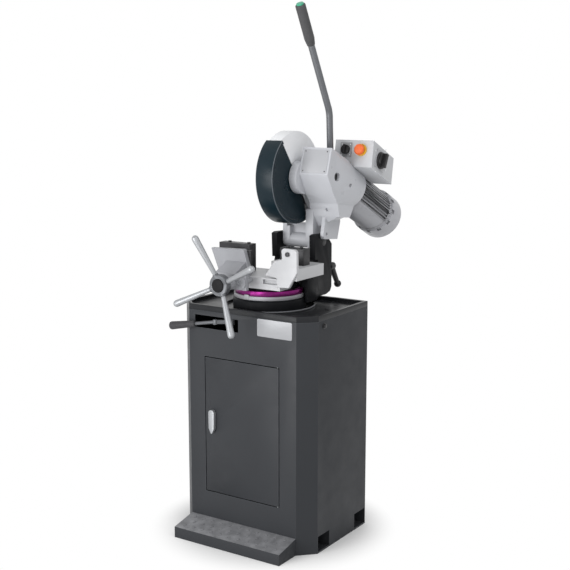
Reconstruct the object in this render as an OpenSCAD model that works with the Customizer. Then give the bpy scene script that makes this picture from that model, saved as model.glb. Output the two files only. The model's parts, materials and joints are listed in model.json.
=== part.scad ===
// Manual cold saw on a floor cabinet: swivelling head, worm-drive motor, lever feed and screw vise.
// Millimetres. Origin on the floor under the cabinet's centre, +X to the operator's right, +Y to the back.

/* [Cabinet] */
// Width of the cabinet
cab_w = 570; // [540:5:620]
// Depth of the cabinet
cab_d = 395; // [385:5:440]
// Height of the cabinet walls under the tray
cab_h = 835; // [800:5:880]
// Chamfer on the two front corners
cab_chamfer = 55; // [40:1:60]
// Thickness of the cabinet sheet
sheet = 3; // [2:0.5:4]
// Radius of the floor anchor holes
anchor_r = 6.5; // [5:0.5:8]
// Height of the tray rim over the cabinet walls
tray_h = 20; // [16:1:30]
// Thickness of the tray floor
tray_floor = 6; // [4:1:8]
// Width of the tray rim
tray_rim = 14; // [8:1:18]
// Radius of the drip lip on the tray floor
drip_r = 166; // [160:1:170]

/* [Door and step] */
// Width of the door opening
door_w = 324; // [280:2:340]
// Height of the door opening
door_h = 508; // [460:2:520]
// Height of the opening's lower edge over the floor
door_z = 161; // [140:1:180]
// Gap around the door
door_gap = 3.5; // [3:0.5:5]
// Depth of the door's folded edge
door_fold = 14; // [12:1:20]
// Radius of the door's pivot pins
door_pin_r = 4; // [3:0.5:5]
// Height of the latch handle
latch_h = 88; // [60:2:110]
// Depth of the foot step
step_d = 106; // [90:2:130]
// Width of the foot step
step_w = 460; // [400:5:460]
// Height of the foot step at its back
step_back_h = 63; // [56:1:70]
// Height of the foot step at its front
step_front_h = 41; // [36:1:46]

/* [Swivel base] */
// Distance of the swivel axis in front of the cabinet's centre
swivel_front = 20; // [16:1:24]
// Radius of the round base
base_r = 132; // [131:1:140]
// Height of the round base
base_h = 41; // [36:1:44]
// Radius of the central pillar
pillar_r = 56; // [50:1:60]
// Radius of the bearing ring
ring_r = 128; // [126:1:130]
// Height of the bearing ring
ring_h = 14; // [12:1:16]
// Radius of the scale ring
scale_r = 124; // [118:1:125]
// Height of the scale ring
scale_h = 18; // [14:1:20]
// Thickness of the swivel plate over the scale ring
swivel_plate = 10; // [9:0.5:10.5]
// Radial running clearance of shafts and pins
run = 0.05; // [0.02:0.01:0.09]
// Gap between sliding faces
slide_gap = 0.3; // [0.2:0.1:0.5]

/* [Column and hinge] */
// Height of the head's hinge pin over the tray floor
pivot_up = 221; // [216:1:229]
// Distance of the hinge pin behind the cabinet's centre
pivot_y = 180; // [176:1:184]
// Radius of the hinge pin
pivot_r = 12; // [10:0.5:14]
// Outer radius of a column ear
ear_r = 29; // [27:1:32]
// Thickness of a column ear
ear_t = 24; // [20:1:26]
// Distance of the right ear's outer face from the middle
ear_x = 108; // [106:1:108]
// Distance of the left ear's outer face from the middle
ear_left = 82; // [81:1:84]
// Depth of the column
column_d = 105; // [95:1:110]

/* [Vise] */
// Height of the work surface over the tray floor
table_up = 166; // [162:1:167]
// Thickness of the right table slab
slab_t = 41; // [38:1:42]
// Half the width of the table
table_x = 194; // [190:1:200]
// Distance of the bed's front face before the cabinet's centre
bed_front = 139; // [136:1:142]
// Half the width of the bed
bed_x = 125; // [120:1:128]
// Height of the fixed jaws over the work surface
jaw_h = 59; // [50:1:60]
// Thickness of the fixed jaws
jaw_t = 40; // [34:1:42]
// Radius of the vise screw
screw_r = 10; // [8:0.5:11]
// Radius of the guide bar
guide_r = 9; // [7:0.5:10]
// Opening of the vise at rest
vise_open = 49; // [44:1:54]
// Radius of the handwheel over its spoke ends
wheel_r = 182; // [160:2:190]
// Radius of a spoke's knob end
knob_r = 12.5; // [10:0.5:13]

/* [Head] */
// Diameter of the saw blade
blade_d = 315; // [290:1:318]
// Thickness of the saw blade
blade_t = 2.5; // [2:0.1:3]
// Number of teeth on the blade
blade_teeth = 60; // [40:4:80]
// Distance of the spindle over the hinge pin
spindle_up = 238; // [234:1:242]
// Distance of the spindle in front of the hinge pin
spindle_front = 65; // [60:1:70]
// Radius of the spindle
spindle_r = 17; // [14:0.5:20]
// Outer radius of the lower guard
guard_r = 170; // [168:1:172]
// Sheet thickness of both guards
guard_t = 3; // [2:0.5:3.4]
// Half the width of the lower guard
guard_x = 31; // [29:0.5:32]
// Radius of the spindle housing
housing_r = 60; // [54:1:60]
// Left face of the gear case
case_x0 = 64; // [62:1:68]
// Width of the gear case
case_w = 120; // [110:1:126]
// Tilt of the motor axis below the horizontal
motor_tilt = 25; // [24:0.5:26]
// Radius of the motor over its fins
motor_r = 80; // [74:1:82]
// Length of the finned motor housing
motor_l = 240; // [220:1:260]
// Number of cooling fins
motor_fins = 48; // [24:2:56]
// Radius of the fan cover
fan_r = 88; // [82:1:90]
// Length of the fan cover
fan_l = 95; // [80:1:110]
// Radius of the feed lever tube
lever_r = 12; // [10:0.5:13]
// Radius of the feed lever's grip
grip_r = 18; // [16:0.5:20]
// Length of the feed lever's grip
grip_l = 150; // [120:2:160]

/* [Hidden] */
$fn = 64;
eps = 0.01;

front_y = -cab_d / 2;
back_y = cab_d / 2;
deck_z = cab_h + tray_floor;
axis_y = -swivel_front;
pivot_z = deck_z + pivot_up;
table_z = deck_z + table_up;
base_top = deck_z + base_h;
ring_z = base_top + slide_gap;
scale_z = ring_z + ring_h;
plate_z = scale_z + scale_h;
plate_top = plate_z + swivel_plate;
bed_z = plate_top + slide_gap;
bed_top = table_z - slab_t;
spindle_y = pivot_y - spindle_front;
spindle_z = pivot_z + spindle_up;
blade_r = blade_d / 2;
case_x1 = case_x0 + case_w;
case_mid = case_x0 + case_w / 2;

// Door opening and pivot axis
door_x0 = -163;
door_x1 = door_x0 + door_w;
door_pivot = [door_x1 - 11, front_y + 7.5];
latch_x = door_x0 + 36;
latch_z = door_z + door_h / 2 + 16;
latch_w = 25;
latch_t = 13;
latch_tip_r = 5;
latch_shaft_r = 6;

// Slot in the cabinet front for the swivel lock lever
slot_x0 = -204;
slot_w = 191;
slot_h = 46;
slot_z = cab_h - slot_h - 17;
post_r = 8;
post_at = [-60, front_y + 17.5];
lever_z = slot_z + 32;

// Vise layout
fixed_face_y = -61;
fixed_back_y = fixed_face_y + jaw_t;
face_t = 10;
jaw_plate_t = 18;
move_face_y = fixed_face_y - vise_open;
move_plate_y = move_face_y - face_t - jaw_plate_t;
flange_t = 15;
flange_y = move_plate_y - 67;
screw_x = -36;
screw_z = bed_top - 16;
guide_x = 2;
guide_z = bed_top - 12;
nut_r = screw_r + 5;
nut_l = 40;
hub_r = 38;
hub_back_r = 22;
cap_r = 24;
hub_y0 = -282;
hub_l = 40;
spoke_angles = [25, 115, 205, 295];
spoke_lean = 46;
spoke_root_r = 8;
spoke_seat = 18;

// Guard sectors, counted about +X from the back
upper_from = -55;
upper_to = 127;
lower_from = 127;
lower_to = 295;
guard_gap = 0.6;
upper_r = guard_r - guard_t - guard_gap;
upper_x = guard_x - guard_t - 2;
spigot_r = 40;
boss_r = 36;

// Motor, from the gear case's bell along the tilted axis
motor_at = [case_mid, 300, spindle_z - 50];
bell_r = 88;

// Control box and its tilted outline
box_x0 = 110;
box_w = 160;
box_front = [255, spindle_z + 133];
box_depth = 170;
box_h = 98;
box_lean = 9.6;

// Feed lever points in its plane
lever_x = 130;
lever_base = [184, spindle_z + 66];
lever_bend = [175, spindle_z + 234];
lever_top = [-22, spindle_z + 598];

module along_x(x0, x1) translate([x0, 0, 0]) rotate([90, 0, 90]) linear_extrude(x1 - x0) children();
module rod_x(r, x0, x1) translate([x0, 0, 0]) rotate([0, 90, 0]) cylinder(r = r, h = x1 - x0);
module rod_y(r, y0, y1) translate([0, y0, 0]) rotate([-90, 0, 0]) cylinder(r = r, h = y1 - y0);
module ring(r0, r1, h) rotate_extrude() translate([r0, 0]) square([r1 - r0, h]);
module at_spindle() translate([0, spindle_y, spindle_z]) children();
module at_motor() translate(motor_at) rotate([-90 - motor_tilt, 0, 0]) children();

// Cabinet outline with chamfered front corners, drawn in by inset
module outline(inset) {
  w = cab_w / 2 - inset;
  c = cab_chamfer - inset * 0.586;
  polygon([
    [-w + c, front_y + inset], [w - c, front_y + inset], [w, front_y + inset + c],
    [w, back_y - inset], [-w, back_y - inset], [-w, front_y + inset + c]
  ]);
}
anchor_x = cab_w / 2 - 40;
anchor_front_y = front_y + 97.5;
anchor_back_y = back_y - 42.5;
toe_z = 6;
toe_h = 56;
toe_l = 77;
module cabinet() color("#3b3d40") difference() {
  linear_extrude(cab_h) outline(0);
  translate([0, 0, sheet]) linear_extrude(cab_h) outline(sheet);
  translate([door_x0, front_y - 1, door_z]) cube([door_w, sheet + 2, door_h]);
  translate([slot_x0, front_y - 1, slot_z]) cube([slot_w, sheet + 2, slot_h]);
  for (y = [anchor_front_y, anchor_back_y]) {
    translate([-cab_w, y - toe_l / 2, toe_z]) cube([2 * cab_w, toe_l, toe_h]);
    for (x = [-anchor_x, anchor_x]) translate([x, y, -1]) cylinder(r = anchor_r, h = sheet + 2);
  }
}
module tray() color("#303234") {
  difference() {
    translate([0, 0, cab_h]) linear_extrude(tray_h) outline(0);
    translate([0, 0, deck_z]) linear_extrude(tray_h) outline(tray_rim);
  }
  translate([0, axis_y, deck_z - eps]) ring(drip_r - 5, drip_r, 8);
}
module foot_step() color("#3b3d40") difference() {
  along_x(-step_w / 2, step_w / 2) polygon([
    [front_y, 0], [front_y - step_d, 0], [front_y - step_d, step_front_h], [front_y, step_back_h]
  ]);
  along_x(-step_w / 2 + sheet, step_w / 2 - sheet) polygon([
    [front_y + 1, -1], [front_y - step_d + sheet, -1],
    [front_y - step_d + sheet, step_front_h - sheet], [front_y + 1, step_back_h - sheet]
  ]);
}
plate_size = [144, 1.2, 62];
module rating_plate() color("#d9dadb")
  translate([cab_w / 2 - cab_chamfer - 17 - plate_size[0], front_y - plate_size[1], cab_h - 2 - plate_size[2]])
    cube(plate_size);
bracket_h = 10;
module door_brackets() color("#2c2e30")
  for (z = [door_z - bracket_h, door_z + door_h]) difference() {
    translate([door_pivot[0] - 12, front_y + sheet, z]) cube([24, 18, bracket_h]);
    translate([door_pivot[0], door_pivot[1], z - 1]) cylinder(r = door_pin_r + run, h = bracket_h + 2);
  }

door_edge0 = door_x0 + door_gap;
door_edge1 = door_x1 - door_gap;
door_low = door_z + door_gap;
door_top = door_z + door_h - door_gap;
module door() color("#414347") difference() {
  translate([door_edge0, front_y, door_low])
    cube([door_edge1 - door_edge0, door_fold, door_top - door_low]);
  translate([door_edge0 + sheet, front_y + sheet, door_low + sheet])
    cube([door_edge1 - door_edge0 - 2 * sheet, door_fold, door_top - door_low - 2 * sheet]);
  translate([latch_x, 0, latch_z]) rod_y(latch_shaft_r + run, front_y - 1, front_y + sheet + 1);
  for (z = [door_low - 1, door_top - sheet - 1])
    translate([door_pivot[0], door_pivot[1], z]) cylinder(r = door_pin_r, h = sheet + 2);
}
pin_reach = bracket_h - 2;
module door_pins() color("silver") {
  translate([door_pivot[0], door_pivot[1], door_low - door_gap - pin_reach])
    cylinder(r = door_pin_r, h = pin_reach + door_gap + sheet);
  translate([door_pivot[0], door_pivot[1], door_top - sheet])
    cylinder(r = door_pin_r, h = pin_reach + door_gap + sheet);
}
latch_top = latch_h / 2 - latch_w / 2;
latch_low = -latch_h / 2 + latch_tip_r;
module latch_handle() color("#b9bbbe") translate([latch_x, 0, latch_z]) {
  translate([0, front_y - slide_gap, 0]) rotate([90, 0, 0]) linear_extrude(latch_t) {
    translate([0, latch_top]) circle(r = latch_w / 2);
    translate([0, latch_low]) circle(r = latch_tip_r);
    polygon([
      [-latch_w / 2, latch_top], [latch_w / 2, latch_top], [latch_w / 2 - 1, latch_low + 14],
      [latch_tip_r, latch_low], [-latch_tip_r, latch_low], [1 - latch_w / 2, latch_low + 14]
    ]);
  }
  rod_y(latch_shaft_r, front_y - slide_gap, front_y + sheet + 7);
}
module latch_cam() color("silver") translate([latch_x, front_y + sheet + 2, latch_z]) difference() {
  translate([-9, 0, -28]) cube([18, 4, 38]);
  rod_y(latch_shaft_r, -1, 5);
}

base_bolt_x = 92;
module base_casting() color("#161719") translate([0, axis_y, deck_z]) difference() {
  union() {
    rotate_extrude() polygon([[0, 0], [base_r, 0], [base_r, base_h - 6], [base_r - 6, base_h], [0, base_h]]);
    cylinder(r = pillar_r, h = bed_z - deck_z);
  }
  for (a = [45 : 90 : 315]) rotate(a) translate([base_bolt_x, 0, base_h - 12]) cylinder(r = 9, h = 20);
}
module base_bolts() color("silver") translate([0, axis_y, base_top - 12])
  for (a = [45 : 90 : 315]) rotate(a) translate([base_bolt_x, 0, 0]) cylinder(r = 8.5, h = 9, $fn = 6);
swivel_hub_r = scale_r - 24;
module bearing_ring() color("#c9ccd0") translate([0, axis_y, ring_z]) ring(pillar_r + run, ring_r, ring_h);
module scale_ring() color("#8a1f6b") translate([0, axis_y, scale_z]) ring(swivel_hub_r, scale_r, scale_h);

column_y0 = pivot_y - 50;
column_y1 = column_y0 + column_d;
column_low = deck_z + 21;
column_mid = pivot_z - 62;
scoop_r = base_r + 1.5;
ear_places = [-ear_left, ear_x - ear_t];
tongue_w = 160;
foot_x = 142;
foot_top = table_z - slab_t - 8;
module ear_shape() {
  translate([pivot_y, pivot_z]) circle(r = ear_r);
  polygon([
    [column_y0 - 12, column_mid], [pivot_y - 66, pivot_z + 26], [pivot_y - 50, pivot_z + 31],
    [pivot_y + 8, pivot_z + ear_r - 1], [pivot_y + ear_r - 4, pivot_z + 18], [column_y1, pivot_z - 14],
    [column_y1, column_mid]
  ]);
}
module foot_plan() polygon([
  [60, column_y0 + 20], [60, 70], [116, 12], [foot_x, 12], [foot_x, 70], [ear_x, column_y0 + 20]
]);
module column() color("#161719") difference() {
  union() {
    along_x(-ear_left, ear_x) polygon([
      [column_y0 - 15, column_low], [column_y1 - 38, column_low], [column_y1 - 10, column_low + 8],
      [column_y1, column_low + 24],
      [column_y1, column_mid], [column_y0 + 8, column_mid], [column_y0, column_mid - 20],
      [column_y0, plate_top], [column_y0 - 15, plate_top]
    ]);
    for (x = ear_places) along_x(x, x + ear_t) ear_shape();
    translate([0, axis_y, scale_z]) cylinder(r = swivel_hub_r, h = plate_top - scale_z);
    translate([-tongue_w / 2, axis_y, plate_z]) cube([tongue_w, column_y0 - axis_y, swivel_plate]);
    translate([0, 0, column_low]) linear_extrude(foot_top - column_low) foot_plan();
  }
  translate([0, axis_y, scale_z - 1]) cylinder(r = pillar_r + run, h = bed_z);
  translate([0, axis_y, column_low - 1]) ring(swivel_hub_r, scoop_r, plate_z - column_low + 1);
  translate([0, pivot_y, pivot_z]) rod_x(pivot_r + 4, -ear_left - 1, ear_x + 1);
}
module pivot_bushes() color("#b08d4a") translate([0, pivot_y, pivot_z])
  for (x = ear_places) difference() {
    rod_x(pivot_r + 4, x, x + ear_t);
    rod_x(pivot_r + run, x - 1, x + ear_t + 1);
  }
handle_at = [96, column_y1, plate_top + 36];
handle_hub = 28;
handle_out = 16;
handle_l = 88;
handle_ball = 14;
handle_back = 33;
module lock_handle() color("#121315") translate(handle_at) {
  rod_y(14, 0, handle_hub);
  translate([0, handle_out, 0]) rotate([180 + handle_back, 0, 0]) {
    cylinder(r1 = 12, r2 = 9, h = handle_l);
    translate([0, 0, handle_l]) sphere(r = handle_ball);
  }
}

// Swivel lock lever: hub on a hanging post, a flat bar to the slot and a tapered handle that hangs a little
elbow = [-40, -34];
bar_t = 13;
lever_hub = 22;
handle_turn = 182;
handle_hang = 10;
rod_l = 88;
lock_grip_l = 112;
lock_grip_r = 15;
collar_z = lever_z - lever_hub / 2 - slide_gap;
collar_t = 4;
module at_elbow() translate([post_at[0] + elbow[0], post_at[1] + elbow[1], lever_z])
  rotate([0, 0, handle_turn]) rotate([0, 90 + handle_hang, 0]) children();
module lock_lever_post() color("silver") translate([post_at[0], post_at[1], collar_z - collar_t]) {
  cylinder(r = post_r + 5, h = collar_t);
  cylinder(r = post_r, h = cab_h - collar_z + collar_t);
}
module lock_lever() color("#2b2d30") difference() {
  union() {
    translate([post_at[0], post_at[1], lever_z]) {
      translate([0, 0, -lever_hub / 2]) cylinder(r = post_r + 10, h = lever_hub);
      rotate([0, 0, atan2(elbow[1], elbow[0])]) translate([0, -bar_t / 2, -bar_t / 2])
        cube([norm(elbow), bar_t, bar_t]);
      translate([elbow[0], elbow[1], -bar_t / 2 - 2]) cylinder(r = bar_t / 2 + 2, h = bar_t + 4);
    }
    at_elbow() cylinder(r = bar_t / 2 - 0.5, h = rod_l);
  }
  translate([post_at[0], post_at[1], lever_z - lever_hub]) cylinder(r = post_r + run, h = 2 * lever_hub);
}
module lock_lever_grip() color("#141517") at_elbow() translate([0, 0, rod_l]) rotate_extrude() polygon([
  [0, 0], [bar_t / 2 + 3, 0], [bar_t / 2 + 5, 3], [lock_grip_r, lock_grip_l - 6],
  [lock_grip_r - 1, lock_grip_l - 2], [lock_grip_r - 4, lock_grip_l], [0, lock_grip_l]
]);

// Vise: bed on the pillar, fixed jaws behind, movable jaw on a screw in front
bed_back = 37;
blade_slot = 8;
pocket = [53, 66, 16, 12];
module vise_bed() color("#c4c6c9") difference() {
  union() {
    translate([0, 0, bed_z]) linear_extrude(bed_top - bed_z) polygon([
      [-bed_x, -bed_front], [bed_x, -bed_front], [bed_x, -bed_front + 64], [70, bed_back], [-bed_x, bed_back]
    ]);
    translate([0, 0, bed_top]) linear_extrude(slab_t) polygon([
      [blade_slot, bed_back], [table_x, bed_back], [table_x, -bed_front],
      [bed_front - swivel_front + blade_slot, -bed_front], [blade_slot, axis_y]
    ]);
  }
  translate([pocket[0], -bed_front - 1, bed_top - 5 - pocket[2]]) cube([pocket[1], pocket[3] + 1, pocket[2]]);
  translate([screw_x, 0, screw_z]) {
    rod_y(nut_r, -bed_front - 1, -bed_front + nut_l);
    rod_y(screw_r + 1, -bed_front, bed_back + 1);
  }
  translate([guide_x, 0, guide_z]) rod_y(guide_r + run, -bed_front - 1, bed_back + 1);
}
module vise_nut() color("#b08d4a") translate([screw_x, 0, screw_z]) difference() {
  rod_y(nut_r, -bed_front, -bed_front + nut_l);
  rod_y(screw_r + run, -bed_front - 1, -bed_front + nut_l + 1);
}
bolt_r = 7;
left_jaw_x1 = -58;
right_jaw_x0 = 73;
right_jaw_w = 99;
jaw_bolt_x = [-160, -75, right_jaw_x0 + 22, right_jaw_x0 + right_jaw_w - 22];
module fixed_jaw_left() color("#1b1c1e") difference() {
  translate([-table_x, fixed_face_y, bed_top]) cube([table_x + left_jaw_x1, jaw_t, slab_t + jaw_h]);
  translate([-table_x - 1, fixed_face_y - 1, bed_top - 1]) cube([table_x - bed_x + 1, jaw_t + 2, slab_t + 1]);
}
module fixed_jaw_right() color("#1b1c1e")
  translate([right_jaw_x0, fixed_face_y, table_z]) cube([right_jaw_w, jaw_t, jaw_h]);
module jaw_bolts() color("silver") for (x = jaw_bolt_x)
  translate([x, (fixed_face_y + fixed_back_y) / 2, table_z + jaw_h])
    cylinder(r = bolt_r, h = 5, $fn = 6);
end_t = 14;
end_top = table_z + jaw_h + 12;
end_x = table_x + 9;
end_bolt = [table_x - 28, end_top - 19];
module end_plate() color("#c9cbce") translate([0, -bed_front, 0]) rotate([90, 0, 0]) linear_extrude(end_t)
  polygon([
    [119, bed_z + 14], [end_x - 34, bed_z + 17], [end_x, table_z - 10], [end_x - 1, end_top - 8],
    [end_x - 9, end_top - 1], [end_x - 57, end_top], [end_x - 64, end_top - 8], [end_x - 62, end_top - 38],
    [109, end_top - 47], [70, table_z - 29], [119, bed_top + 6]
  ]);
module end_plate_bolts() color("#3a3b3d") translate([end_bolt[0], 0, end_bolt[1]])
  rod_y(bolt_r + 1, -bed_front - end_t - 6, -bed_front - end_t);

jaw_top = table_z + jaw_h - 7;
module movable_jaw() color("#c4c6c9") difference() {
  union() {
    translate([0, move_plate_y + jaw_plate_t, 0]) rotate([90, 0, 0]) linear_extrude(jaw_plate_t) polygon([
      [-136, bed_top + slide_gap], [-8, bed_top + slide_gap], [-8, table_z - 20],
      [-30, jaw_top], [-172, jaw_top - 4]
    ]);
    along_x(-104, -20) polygon([
      [move_plate_y, bed_top + slide_gap], [flange_y, bed_top + slide_gap],
      [flange_y, bed_top + 16], [move_plate_y, table_z + 8]
    ]);
    translate([-104, flange_y, bed_z + 2]) cube([132, flange_t, bed_top - bed_z + 14]);
    translate([screw_x, 0, screw_z]) rod_y(hub_back_r + 2, hub_y0 + hub_l + slide_gap, flange_y + flange_t);
    translate([guide_x, 0, guide_z]) rod_y(guide_r + 17, flange_y - 6, flange_y + flange_t);
  }
  translate([screw_x, 0, screw_z]) rod_y(screw_r + run, hub_y0 + hub_l, flange_y + flange_t + 1);
  translate([guide_x, 0, guide_z]) rod_y(guide_r, flange_y - 20, flange_y + flange_t + 1);
}
module jaw_face() color("#1f2022")
  translate([-150, move_face_y - face_t, bed_top + 4]) cube([138, face_t, table_z + jaw_h - 12 - bed_top - 4]);
module guide_bar() color("#8d9094") translate([guide_x, 0, guide_z]) difference() {
  rod_y(guide_r, flange_y - 6, flange_y + 150);
  rod_y(5, flange_y - 7, flange_y + 4);
}
module vise_screw() color("#8d9094") translate([screw_x, 0, screw_z]) rod_y(screw_r, hub_y0 + hub_l, -60);
spoke_root = hub_r + 4;
module at_spoke(a) translate([screw_x, hub_y0 + spoke_seat, screw_z])
  rotate([0, 90 - a, 0]) rotate([atan(spoke_lean / wheel_r), 0, 0]) children();
module handwheel_hub() color("#b9bbbe") {
  translate([screw_x, hub_y0, screw_z]) rotate([-90, 0, 0]) rotate_extrude()
    polygon([[0, 0], [hub_r - 3, 0], [hub_r, 3], [hub_r, 24], [hub_back_r, hub_l], [0, hub_l]]);
  for (a = spoke_angles) at_spoke(a) cylinder(r = spoke_root_r + 3, h = spoke_root);
}
module handwheel_cap() color("#141517") translate([screw_x, hub_y0 - 5, screw_z]) rotate([-90, 0, 0])
  rotate_extrude() polygon([[0, 0], [cap_r - 4, 0], [cap_r, 2], [cap_r, 5], [0, 5]]);
module handwheel_spokes() color("#c2c4c7") for (a = spoke_angles) at_spoke(a)
  rotate_extrude() polygon(concat(
    [[0, spoke_root], [spoke_root_r, spoke_root]],
    [for (t = [0 : 30 : 60]) [knob_r * cos(t), wheel_r + knob_r * sin(t)]],
    [[0, wheel_r + knob_r]]
  ));

// Head: gear case, bell, spindle housing, hinge arm and lug in one casting
case_front = [
  [105, spindle_z + 110], [75, spindle_z + 15], [117, spindle_z - 54],
  [147, spindle_z - 93], [161, spindle_z - 142]
];
case_rear = [
  [236, spindle_z - 150], [276, spindle_z - 94], [300, spindle_z - 10],
  [234, spindle_z + 28], [228, spindle_z + 56]
];
rib_t = 24;
rib_x = 68;
rib_left = ear_left - ear_t - 2;
horn_t = rib_left - guard_x - 8;
bell_lip = 30;
module case_blend(grow) hull() {
  along_x(case_x0 - grow, case_x1 + grow) polygon([
    case_front[0] + [10, grow - 6], case_front[1] + [4, 0], case_front[2] + [4, 0], case_front[3] + [8, 0]
  ]);
  at_motor() translate([0, 0, -bell_lip]) cylinder(r = bell_r + grow, h = bell_lip, $fn = 48);
}
plug_at = [134, 154, spindle_z - 117];
plug_lean = -74;
plug_r = 16;
plug_x = case_x1 - 4;
plug_y = spindle_y + 16;
chin_z = pivot_z + 54;
chin_x = 170;
module arm_rib(top) {
  translate([pivot_y, pivot_z]) circle(r = 28);
  polygon([[pivot_y - 28, pivot_z], [pivot_y + 28, pivot_z], [pivot_y + 48, top], [pivot_y - 26, top]]);
}
module head_casting() color("#c9cbce") difference() {
  union() {
    along_x(case_x0, case_x1) polygon(concat(case_front, case_rear));
    case_blend(0);
    at_spindle() {
      rod_x(housing_r, guard_x + 3, case_x0 + 1);
      rod_x(spigot_r, upper_x, case_x0);
    }
    translate([0, pivot_y, pivot_z]) rod_x(28, -rib_left, ear_x - ear_t - 2);
    along_x(-rib_left, -rib_left + horn_t) arm_rib(pivot_z + 112);
    along_x(-rib_left, -rib_left + 30) arm_rib(pivot_z + 52);
    along_x(rib_x - rib_t, case_x0 + 12) arm_rib(pivot_z + 118);
    along_x(-rib_left, rib_x) polygon([
      [pivot_y - 8, pivot_z], [pivot_y + 28, pivot_z],
      [pivot_y + 34, pivot_z + 62], [pivot_y + 2, pivot_z + 62]
    ]);
    along_x(case_x0 - 12, case_x0 + 12) polygon([
      [pivot_y - 28, pivot_z], [pivot_y - 25, pivot_z - 50], [pivot_y - 12, pivot_z - 54],
      [pivot_y + 14, pivot_z - 24]
    ]);
    intersection() {
      along_x(case_x0, chin_x) polygon([
        case_front[4], case_front[4] + [0, 20], [240, spindle_z - 122], [240, chin_z], [pivot_y + 6, chin_z]
      ]);
      translate([0, 300, 0]) rotate([90, 0, 0]) linear_extrude(200) polygon([
        [case_x0, chin_z], [case_x0 + 16, chin_z], [chin_x, spindle_z - 146],
        [chin_x, spindle_z], [case_x0, spindle_z]
      ]);
    }
    along_x(ear_x + 2, ear_x + 16) polygon([
      [pivot_y - 18, pivot_z + 94], [pivot_y + 82, pivot_z + 94], [pivot_y + 88, pivot_z + 68],
      [pivot_y + 68, pivot_z + 3], [pivot_y - 24, pivot_z + 12], [pivot_y - 32, pivot_z + 24]
    ]);
  }
  translate([0, pivot_y, pivot_z]) rod_x(pivot_r, -ear_left, ear_x);
  at_spindle() rod_x(spindle_r + run, 0, case_x1 - 30);
  translate([0, pivot_y - 10, pivot_z + 30]) rod_x(6, ear_x, ear_x + 40);
  translate(plug_at) rotate([plug_lean, 0, 0]) translate([0, 0, -30]) cylinder(r = 6, h = 40);
  translate([lever_x, lever_base[0], lever_base[1]]) rotate([lower_tilt, 0, 0]) cylinder(r = lever_r, h = 80);
  translate([0, plug_y, spindle_z + 6]) rod_x(plug_r, plug_x - 4, case_x1 + 40);
  translate([0, spindle_y + 92, spindle_z - 29]) rod_x(7, case_x1 + 4, case_x1 + 40);
}
module pivot_pin() color("silver") translate([0, pivot_y, pivot_z]) {
  rod_x(pivot_r, -ear_left - 3, ear_x + 1);
  rod_x(pivot_r + 5, -ear_left - 9, -ear_left - 3);
}
plate_lean = atan2(case_front[0][0] - case_front[1][0], case_front[0][1] - case_front[1][1]);
module front_plate() color("#dcdde0")
  translate([case_x0 + 8, case_front[1][0], case_front[1][1]]) rotate([-plate_lean, 0, 0])
    translate([0, -2, 6]) cube([case_w - 16, 2, 86]);
module case_plugs() color("#2a2b2d") {
  translate([0, plug_y, spindle_z + 6]) rod_x(plug_r, plug_x - 4, plug_x + 2);
  translate([0, spindle_y + 92, spindle_z - 29]) rod_x(7, case_x1 + 4, case_x1 + 9);
}
module sector(r, a0, a1) polygon(concat([[0, 0]], [for (i = [0 : 24]) let (a = a0 + (a1 - a0) * i / 24)
  [2 * r * cos(a), 2 * r * sin(a)]]));
guard_hub = 52;
lip_x = 5;
lip_r = 13;
module guard_cut(r, x, a0, a1) union() {
  along_x(-x, x) sector(r, a0, a1);
  rod_x(guard_hub, -x, x);
}
module guard_shell(r, x, a0, a1, hole_left, hole_right) difference() {
  intersection() {
    difference() {
      rod_x(r, -x, x);
      rod_x(r - guard_t, -x + guard_t, x - guard_t);
    }
    guard_cut(r, x + 1, a0, a1);
  }
  rod_x(hole_left, -x - 1, 0);
  rod_x(hole_right, 0, x + 1);
}
module upper_guard() color("#cfd1d4") at_spindle() {
  guard_shell(upper_r, upper_x, upper_from, upper_to, boss_r - 6, spindle_r + 3);
  difference() {
    rod_x(boss_r, -guard_x - 2, -upper_x + guard_t);
    rod_x(boss_r - 6, -guard_x + 2, 0);
  }
}
module dished_shell() rotate([0, 90, 0]) rotate_extrude() polygon([
  [0, -guard_x], [guard_r - lip_r - lip_x, -guard_x], [guard_r - lip_r, -guard_x - lip_x],
  [guard_r - 2, -guard_x - lip_x], [guard_r, -guard_x - lip_x + 2], [guard_r, guard_x + lip_x - 2],
  [guard_r - 2, guard_x + lip_x], [guard_r - lip_r, guard_x + lip_x], [guard_r - lip_r - lip_x, guard_x],
  [0, guard_x]
]);
module lower_guard() color("#2f3a45") at_spindle() difference() {
  intersection() {
    difference() {
      dished_shell();
      rod_x(guard_r - guard_t, -guard_x + guard_t, guard_x - guard_t);
    }
    guard_cut(guard_r, guard_x + lip_x + 1, lower_from, lower_to);
  }
  rod_x(boss_r + run, -guard_x - 1, 0);
  rod_x(spigot_r + run, 0, guard_x + 1);
}
function tooth(i, n, r) = let (a = 360 * i / n, s = 360 / n)
  [[r * cos(a), r * sin(a)], [(r - 6) * cos(a + s * 0.25), (r - 6) * sin(a + s * 0.25)],
   [(r - 3) * cos(a + s * 0.7), (r - 3) * sin(a + s * 0.7)]];
module blade() color("#aeb2b7") at_spindle() difference() {
  along_x(-blade_t / 2, blade_t / 2)
    polygon([for (i = [0 : blade_teeth - 1]) each tooth(i, blade_teeth, blade_r)]);
  rod_x(spindle_r - 3, -5, 5);
}
module spindle() color("#9a9da1") at_spindle() {
  rod_x(spindle_r - 3, -blade_t / 2 - 2, blade_t / 2);
  rod_x(spindle_r, blade_t / 2, case_x1 - 30);
}
module blade_flange() color("#8d9094") at_spindle() difference() {
  rod_x(45, -blade_t / 2 - 10, -blade_t / 2);
  rod_x(spindle_r - 3, -blade_t / 2 - 3, 0);
}
module blade_bolt() color("#55585c") at_spindle() rod_x(13, -blade_t / 2 - 18, -blade_t / 2 - 10);

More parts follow.
